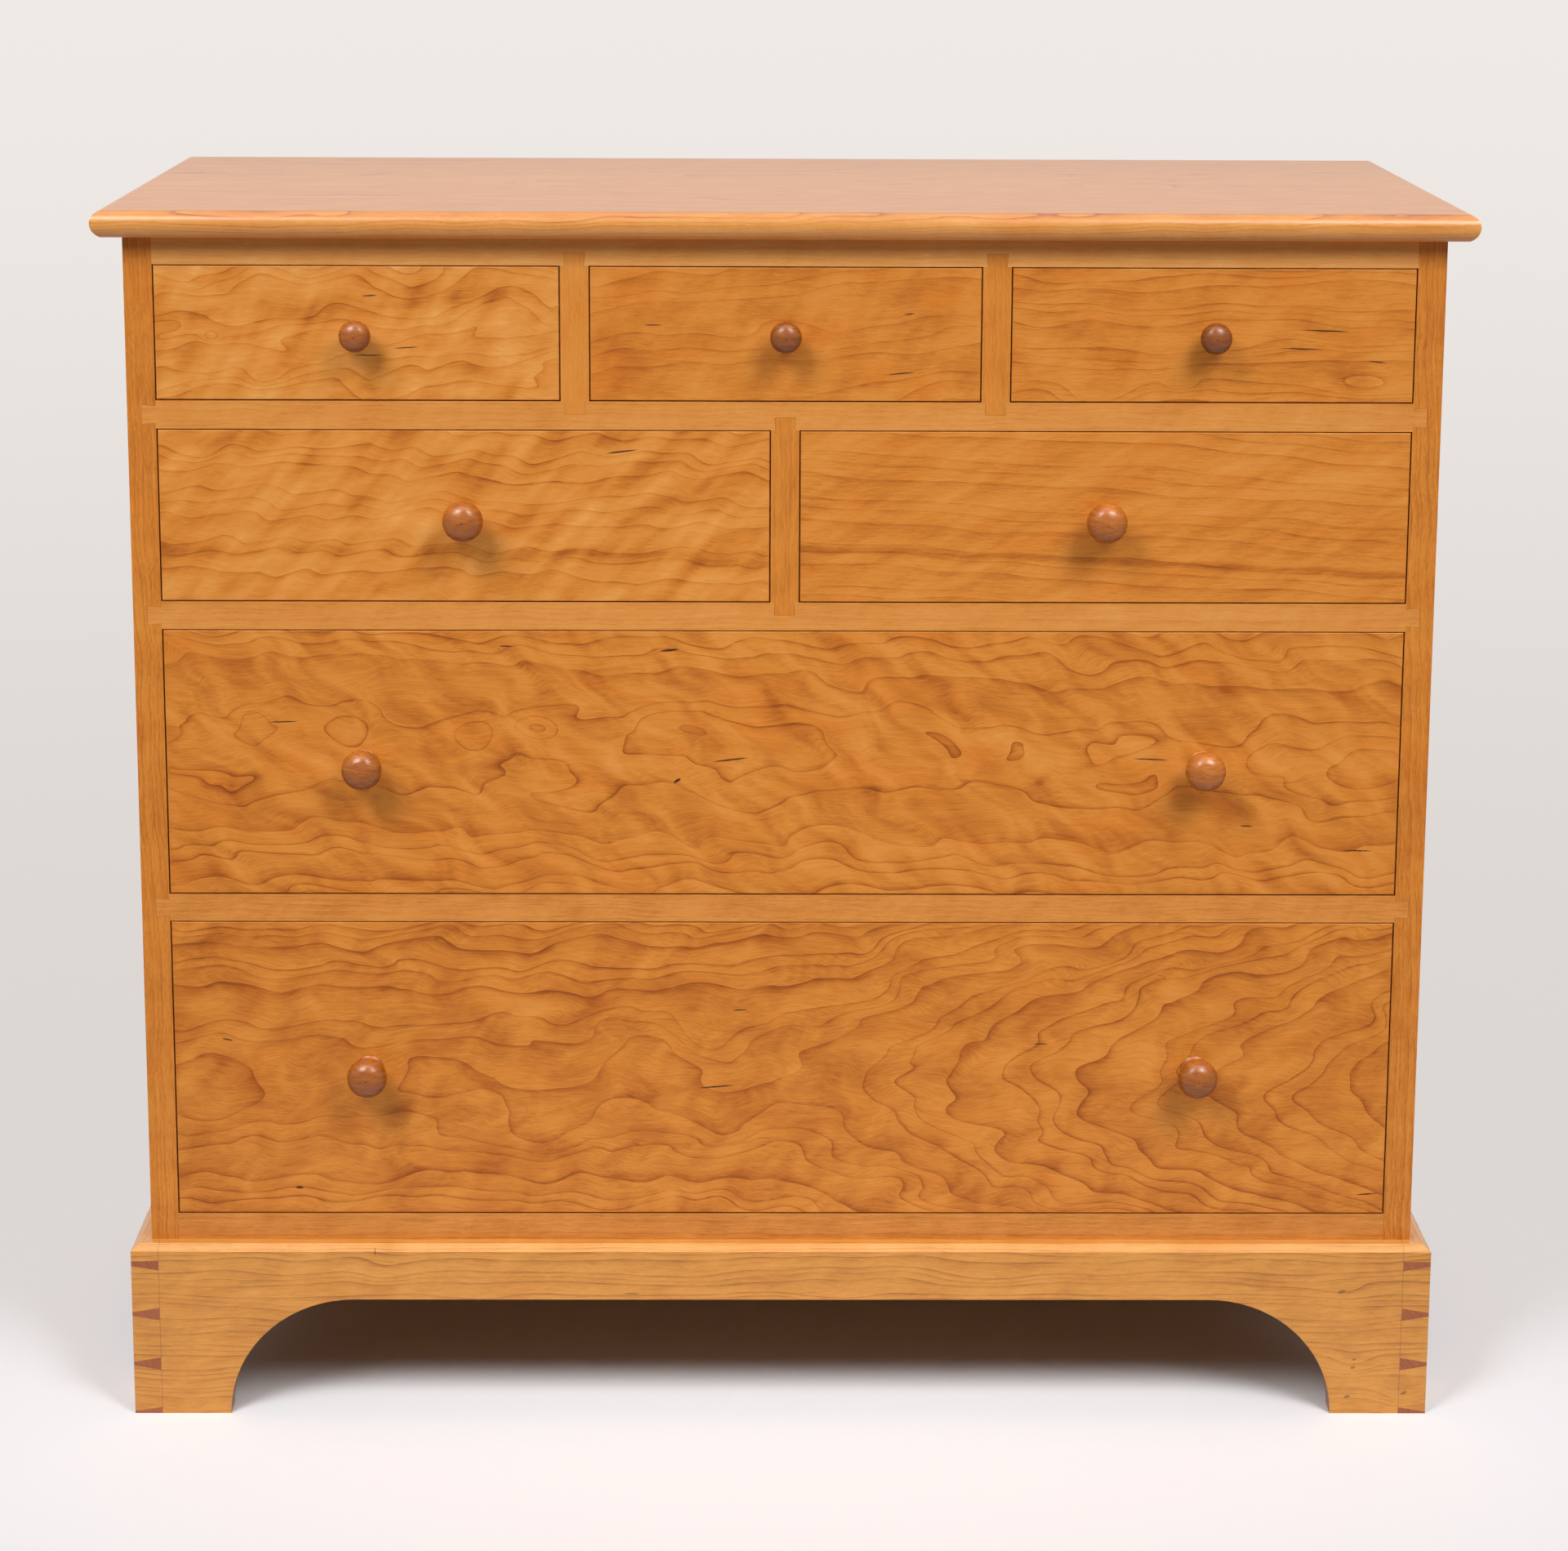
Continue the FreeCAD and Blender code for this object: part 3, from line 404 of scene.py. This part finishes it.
def board_place(graph, node, axes):
    """Places u, v and w on a board, the share of end grain, and the share of upward face that
    carries painted light.
    """
    low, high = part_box(node)
    parts = graph.split(graph.place(mm * (low + high) / 2))
    facing = graph.facing()
    along, across = ("XYZ".index(axis) for axis in axes)
    depth = next(axis for axis in range(3) if axis not in (along, across))
    end = graph.span(graph.math("ABSOLUTE", facing[along]), *end_span)
    return parts[along], parts[across], parts[depth], end, graph.span(facing[2], *upward_painted_span)


def square_sum(graph, first, second):
    """The sum of two squares."""
    return graph.add(graph.mul(first, first), graph.mul(second, second))


def island(graph, u, v, u0, v0, reach_u, reach_v, height):
    """A hill in the growth-ring field, which closes the ring lines round one place."""
    du = graph.math("DIVIDE", graph.sub(u, u0), reach_u)
    dv = graph.math("DIVIDE", graph.sub(v, v0), reach_v)
    return graph.mul(graph.falloff(square_sum(graph, du, dv), 1.0), height)


def fleck(graph, u, v, u0, v0, length, thickness, rise):
    """A short tapering gum mark: its share at each place."""
    du = graph.sub(u, u0)
    dv = graph.sub(graph.sub(v, v0), graph.mul(du, rise))
    du = graph.math("DIVIDE", du, length / 2)
    dv = graph.math("DIVIDE", dv, thickness / 2)
    return graph.span(square_sum(graph, du, dv), *fleck_edge)


def band(graph, u, v, v0, rise, width, depth):
    """A soft dark band along the board: its change of tone."""
    off = graph.math("DIVIDE", graph.sub(graph.sub(v, v0), graph.mul(u, rise)), width)
    return graph.mul(graph.falloff(graph.mul(off, off), 1.0), -depth)


def lap_line(graph, u, v, half_length, lap, neck, flare):
    """The fine line round a lapped dovetail at each end of a board: its share at each place."""
    past = graph.sub(graph.math("ABSOLUTE", u), half_length - lap)
    half = graph.math("MULTIPLY_ADD", past, flare / lap, neck / 2)
    inside = graph.math("MINIMUM", graph.sub(half, graph.math("ABSOLUTE", v)), graph.sub(lap, past))
    return graph.mul(graph.span(inside, *lap_edge), graph.span(past, *lap_start))


def scribe_line(graph, u, _, place):
    """The fine scribed line across a board near each end: its share at each place."""
    off = graph.math("ABSOLUTE", graph.sub(graph.math("ABSOLUTE", u), place))
    return graph.span(off, *scribe_edge)


def board_noise(graph, kind, place, figure):
    """One of the board's noises, about zero."""
    cells, step, detail, roughness = board_noises[kind]
    cells = (*figure.get(kind + "_size", ()), *cells)
    return graph.noise(place, cells, figure["seed"] + step, detail, roughness)


def grain_places(graph, u, v, w, figure):
    """Sway along and ripple across the board, and its places bent by both and slanted."""
    upright = graph.join(u, v, w)
    sway = graph.mul(board_noise(graph, "sway", upright, figure), figure["sway"])
    along = graph.add(u, sway)
    slanted = graph.join(graph.sub(along, graph.mul(v, figure["slant"])), v, w)
    ripple = graph.mul(board_noise(graph, "ripple", slanted, figure), figure["ripple"])
    bent = graph.join(along, graph.add(v, ripple), w)
    return sway, ripple, bent, slanted


def ring_islands(graph, u, v, sway, ripple, figure):
    """The hills in the growth-ring field, which follow the grain round them a little."""
    near_u = graph.add(u, graph.mul(sway, island_follow))
    near_v = graph.add(v, graph.mul(ripple, island_follow))
    return [island(graph, near_u, near_v, *hill) for hill in figure["islands"]]


def ring_field(graph, u, v, w, figure):
    """Growth rings counted across the board, their slope, and its bent and slanted places."""
    sway, ripple, bent, slanted = grain_places(graph, u, v, w, figure)
    along, across, _ = graph.split(bent)
    off = graph.sub(across, graph.math("MULTIPLY_ADD", u, figure["tilt"], figure["center"]))
    wave = graph.mul(board_noise(graph, "wave", bent, figure), figure["wave"])
    rings = graph.add(graph.mul(off, off, figure["bend"]), graph.mul(off, figure["rings"]),
                      graph.mul(w, figure["depth"]), figure["phase"], wave)
    if figure["run"]:
        past = graph.math("SMOOTH_MAX", graph.sub(along, figure["run_from"]), 0.0, run_blend)
        rings = graph.sub(rings, graph.mul(past, figure["run"]))
    if figure["islands"]:
        rings = graph.add(rings, *ring_islands(graph, u, v, sway, ripple, figure))
    uneven = graph.math("SINE", graph.add(graph.mul(rings, uneven_rate), figure["seed"]))
    steep = graph.add(graph.mul(off, 2 * figure["bend"]), figure["rings"])
    least = figure["run"] ** 2 + figure["least_slope"] ** 2
    slope = graph.math("SQRT", graph.add(graph.mul(steep, steep), least))
    return graph.add(rings, graph.mul(uneven, uneven_reach)), slope, bent, slanted


def grain(graph, bent, slanted, figure):
    """The board's finer noises, some along its bent grain and some along its slant."""
    places = {"fibre": bent, "streak": bent, "pore": bent, "fade": bent,
              "mottle": slanted, "curl": slanted, "ember": slanted}
    return {kind: board_noise(graph, kind, place, figure) for kind, place in places.items()}


def ring_lines(graph, rings, slope, fade):
    """Each ring's dark line, the soft shade before it, and a number of the ring's own."""
    inputs = {"W": graph.math("FLOOR", rings)}
    own = graph.node("ShaderNodeTexWhiteNoise", inputs, noise_dimensions="1D").outputs[0]
    left = graph.math("MULTIPLY_ADD", graph.math("FRACT", rings), -1.0, 1.0)
    ahead = graph.math("DIVIDE", left, slope)
    line = graph.mul(graph.falloff(ahead, line_width), graph.span(fade, *line_fade))
    return line, graph.falloff(ahead, shade_width), own


def board_tone(graph, figure, noises, line, shade, own):
    """How light the board is at each place, before the painted light of its upward faces and its
    bands are added.
    """
    dark = -line_share * figure["line"]
    drawn = graph.mul(line, graph.math("MULTIPLY_ADD", own, dark, dark))
    shaded = graph.mul(shade, -figure["shade"])
    ring = graph.math("MULTIPLY_ADD", own, figure["ring_tone"], -figure["ring_tone"] / 2)
    tone = graph.add(middle_tone + figure["light"], drawn)
    tone = graph.add(tone, shaded, figure["shade"] * shade_mean, ring)
    tone = graph.add(tone, graph.mul(noises["fibre"], figure["fibre"]))
    tone = graph.add(tone, graph.mul(noises["streak"], figure["fibre"] * streak_share))
    tone = graph.add(tone, graph.mul(noises["mottle"], figure["mottle"]))
    tone = graph.add(tone, graph.mul(noises["curl"], figure["curl"]))
    return graph.add(tone, graph.mul(graph.span(noises["pore"], *pore_span), pore_tone))


def marked(graph, color, u, v, fibre, figure):
    """The board's colour with its gum marks and the lines of its joints."""
    dark = linear(fleck_color)
    if figure["flecks"]:
        shares = [fleck(graph, u, v, *mark) for mark in figure["flecks"]]
        marks = reduce(partial(graph.math, "MAXIMUM"), shares)
        frayed = graph.mul(marks, graph.span(fibre, *fleck_fray), figure["fleck_share"])
        color = graph.mix(frayed, color, dark)
    if figure["joint"]:
        color = graph.mix(graph.mul(figure["joint"](graph, u, v), joint_share), color, dark)
    return color


def cherry(name, node, axes, **changes):
    """Oiled cherry, or a wood of other tones, on one board; axes are along and across its grain."""
    figure = {**plain_board, **changes}
    graph = Graph(name)
    u, v, w, end, upper = board_place(graph, node, axes)
    rings, slope, bent, slanted = ring_field(graph, u, v, w, figure)
    noises = grain(graph, bent, slanted, figure)
    line, shade, own = ring_lines(graph, rings, slope, noises["fade"])
    tone = board_tone(graph, figure, noises, line, shade, own)
    # Painted light: faces turned up are painted lighter, or darker where the amount is negative.
    if figure["upward_painted_light"]:
        tone = graph.add(tone, graph.mul(upper, figure["upward_painted_light"]))
    for stripe in figure["bands"]:
        tone = graph.add(tone, band(graph, u, graph.split(bent)[1], *stripe))
    ember = graph.mul(graph.span(noises["ember"], *ember_span), figure["ember"])
    face = graph.mix(ember, graph.ramp(tone, figure["tones"]), graph.ramp(tone, ember_tones))
    ends = graph.ramp(graph.add(tone, graph.mul(noises["pore"], end_pore_tone)), end_grain_tones)
    color = marked(graph, graph.mix(end, face, ends), u, v, noises["fibre"], figure)
    roughness = graph.math("MULTIPLY_ADD", noises["fibre"], roughness_change, figure["roughness"])
    height = graph.add(noises["fibre"], graph.mul(line, relief_share),
                       graph.mul(noises["pore"], relief_share))
    sheen = {"Specular IOR Level": figure["gloss"], "Coat Weight": figure["coat"],
             "Coat Roughness": coat_roughness}
    return graph.finish(color, roughness, height, board_relief, **sheen)


def turned_wood(name, centers, lights):
    """Darker turned wood of the knobs, with a small mark on each knob's axis and painted shade that
    darkens their lower sides.
    """
    graph = Graph(name)
    place = graph.place()
    x, _, z = graph.split(place)
    fibre, streak = graph.noise(place, *knob_fibre), graph.noise(place, *knob_streak)
    radii = [graph.math("SQRT", square_sum(graph, graph.sub(x, x0), graph.sub(z, z0)))
             for x0, z0 in centers]
    radius = reduce(partial(graph.math, "MINIMUM"), radii)
    rings = graph.add(graph.mul(z, knob_rings), graph.mul(x, knob_lean),
                      graph.mul(streak, knob_ring_wave))
    line = graph.span(graph.math("FRACT", rings), *knob_ring_span)
    right = graph.math("GREATER_THAN", x, 0.0)
    first, last = lights[0], lights[-1]
    light = graph.math("MULTIPLY_ADD", right, last - first, knob_middle_tone + first)
    # The facing term is painted shade, darker below and lighter above.
    tone = graph.add(light, graph.mul(fibre, knob_fibre_tone), graph.mul(streak, knob_streak_tone),
                     graph.mul(line, knob_ring_tone),
                     graph.span(graph.facing()[2], *knob_painted_shade_span))
    tone = graph.sub(tone, graph.mul(graph.span(radius, *knob_mark_edge), knob_mark_tone))
    roughness = graph.math("MULTIPLY_ADD", fibre, knob_roughness_change, knob_roughness)
    return graph.finish(graph.ramp(tone, knob_tones), roughness, fibre, knob_relief,
                        **{"Specular IOR Level": knob_gloss})


def paint(node, material):
    """Gives a CAD node one material."""
    piece = frame["nodes"][node]
    if not piece.material_slots:
        piece.data.materials.append(material)
    for slot in piece.material_slots:
        slot.material = material


def paint_fronts():
    """The seven drawer fronts, each with the figure of its own board."""
    for drawer, figure in front_figures.items():
        node = drawer + "_front"
        paint(node, cherry("cherry_" + drawer.removeprefix("drawer_"), node, "XZ", **figure))


def paint_rails():
    """The rails and muntins, with the lines of their lapped ends."""
    for number, (rail, light) in enumerate(rail_light.items()):
        ends = partial(lap_line, **rail_lap) if rail in lapped_rails else None
        paint(rail, cherry("cherry_" + rail, rail, "XZ", **rail_figure,
                           seed=rail_seed + number, light=light, joint=ends))
    for number, (muntin, light) in enumerate(muntin_light.items()):
        low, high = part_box(muntin)
        ends = partial(lap_line, half_length=mm * (high.z - low.z) / 2, **muntin_lap)
        paint(muntin, cherry("cherry_" + muntin, muntin, "ZX", **muntin_figure,
                             seed=muntin_seed + number, light=light, joint=ends))


def paint_case():
    """The sides, the top and the base."""
    for number, side in enumerate(("side_left", "side_right")):
        paint(side, cherry("cherry_" + side, side, "ZY", **side_figure, seed=side_seed + number))
    paint("top_board", cherry("cherry_top_board", "top_board", "XY", **top_figure))
    pins = partial(scribe_line, place=base_pin_line)
    paint("base_front", cherry("cherry_base_front", "base_front", "XZ",
                               **base_figure, **base_front_figure, joint=pins))
    for number, side in enumerate(("base_left", "base_right")):
        paint(side, cherry("cherry_" + side, side, "YZ", **base_figure,
                           seed=base_side_seed + number))


def paint_inside():
    """Drawer sides, backs and bottoms, the inner frames and the back of the case."""
    drawers = [body for body in frame["bodies"] if body.startswith("drawer_")]
    for number, drawer in enumerate(drawers):
        for part, (axes, figure) in drawer_parts.items():
            node = f"{drawer}_{part}"
            paint(node, cherry("inner_" + node, node, axes, **figure, seed=drawer_seed + number))
    for number, (node, axes) in enumerate(frame_parts.items()):
        paint(node, cherry("frame_" + node, node, axes, **frame_figure, seed=frame_seed + number))
    paint("back_boards", cherry("frame_back_boards", "back_boards", "ZX", **back_figure))


def paint_knobs():
    """Each drawer's knob, or its two knobs."""
    for drawer, lights in knob_light.items():
        node = drawer + ("_knobs" if len(lights) > 1 else "_knob")
        low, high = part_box(node)
        half = (high.z - low.z) / 2
        places = (low.x + half, high.x - half) if len(lights) > 1 else ((low.x + high.x) / 2,)
        centers = [(mm * x, mm * (low.z + high.z) / 2) for x in places]
        paint(node, turned_wood("turned_" + node, centers, lights))


def paint_screws():
    """Plain steel with fine turning marks."""
    graph = Graph("screw_steel")
    marks = graph.noise(graph.place(), *screw_marks)
    color = graph.ramp(graph.math("MULTIPLY_ADD", marks, screw_contrast, middle_tone), steel_tones)
    roughness = graph.math("MULTIPLY_ADD", marks, screw_roughness_change, screw_roughness)
    paint("screws", graph.finish(color, roughness, marks, screw_relief, Metallic=1.0))


def floor_paper():
    """Pale paper that fades out far from the chest."""
    graph = Graph("floor_paper")
    ends = {0: graph.coordinates("Object"), 1: floor_middle}
    far = graph.node("ShaderNodeVectorMath", ends, operation="DISTANCE")
    faded = graph.span(far.outputs["Value"], *floor_fade)
    paper = graph.node("ShaderNodeBsdfDiffuse", {"Color": linear(floor_color)}).outputs[0]
    clear = graph.node("ShaderNodeBsdfTransparent", {}).outputs[0]
    shader = graph.node("ShaderNodeMixShader", {0: faded, 1: paper, 2: clear}).outputs[0]
    graph.node("ShaderNodeOutputMaterial", {"Surface": shader})
    return graph.owner


def build_floor():
    """A round floor of pale paper."""
    angles = [2 * math.pi * i / floor_corners for i in range(floor_corners)]
    rim = [(floor_radius * math.cos(a), floor_radius * math.sin(a), 0.0) for a in angles]
    mesh = bpy.data.meshes.new("floor")
    mesh.from_pydata(rim, [], [list(range(floor_corners))])
    mesh.materials.append(floor_paper())
    floor = bpy.data.objects.new("floor", mesh)
    bpy.context.collection.objects.link(floor)


def room_shader(graph, back, height):
    """The light that the room gives."""
    ceiling = graph.mul(graph.span(height, *room_span),
                        graph.span(back, *back_span, room_light, room_light + back_light))
    above = graph.node("ShaderNodeBackground", {"Strength": ceiling}).outputs[0]
    bounce = graph.mul(graph.span(height, *bounce_span), bounce_light)
    inputs = {"Color": bounce_color, "Strength": bounce}
    below = graph.node("ShaderNodeBackground", inputs).outputs[0]
    return graph.node("ShaderNodeAddShader", {0: above, 1: below}).outputs[0]


def backdrop_shader(graph, height, glossy):
    """What the camera and reflections see of the room."""
    color = graph.ramp(graph.span(height, *backdrop_span), backdrop_tones)
    color = graph.mix(graph.span(height, *sweep_span), color, linear(sweep_color))
    panel = graph.mul(graph.span(height, *panel_span), glossy)
    strength = graph.math("MULTIPLY_ADD", panel, panel_light - 1.0, 1.0)
    return graph.node("ShaderNodeBackground", {"Color": color, "Strength": strength}).outputs[0]


def build_world():
    """A room that lights the chest, and a pale backdrop in its place where it is seen."""
    world = bpy.data.worlds.new("studio")
    bpy.context.scene.world = world
    graph = Graph("studio", world)
    path = graph.node("ShaderNodeLightPath", {}).outputs
    rays = [path[kind] for kind in ("Is Camera Ray", "Is Glossy Ray", "Is Transmission Ray")]
    seen = reduce(partial(graph.math, "MAXIMUM"), rays)
    _, back, height = graph.split(graph.coordinates("Generated"))
    room = room_shader(graph, back, height)
    backdrop = backdrop_shader(graph, height, path["Is Glossy Ray"])
    choice = graph.node("ShaderNodeMixShader", {0: seen, 1: room, 2: backdrop}).outputs[0]
    graph.node("ShaderNodeOutputWorld", {"Surface": choice})


def build_lights():
    """Two softboxes, each turned towards its half of the chest."""
    for name, hand in (("softbox_left", -1), ("softbox_right", 1)):
        mirror = Vector((hand, 1, 1))
        place, aim = softbox_place * mirror, softbox_aim * mirror
        lamp = bpy.data.lights.new(name, "AREA")
        lamp.energy = softbox_power
        lamp.color = softbox_color
        lamp.size = softbox_size
        lamp.spread = softbox_spread
        softbox = bpy.data.objects.new(name, lamp)
        softbox.location = place
        softbox.rotation_euler = (aim - place).to_track_quat("-Z", "Y").to_euler()
        bpy.context.collection.objects.link(softbox)


def build_camera():
    """The photograph's view."""
    data = bpy.data.cameras.new("camera")
    data.lens = camera_lens
    data.shift_y = camera_shift_y
    camera = bpy.data.objects.new("camera", data)
    yaw = Matrix.Rotation(camera_yaw, 4, "Z")
    pitch = Matrix.Rotation(math.pi / 2 - camera_pitch, 4, "X")
    roll = Matrix.Rotation(-camera_roll, 4, "Z")
    camera.matrix_world = Matrix.Translation(camera_place) @ yaw @ pitch @ roll
    bpy.context.collection.objects.link(camera)
    bpy.context.scene.camera = camera


paint_fronts()
paint_rails()
paint_case()
paint_inside()
paint_knobs()
paint_screws()
build_floor()
build_world()
build_lights()
build_camera()
bpy.context.scene.view_settings.view_transform = "Standard"
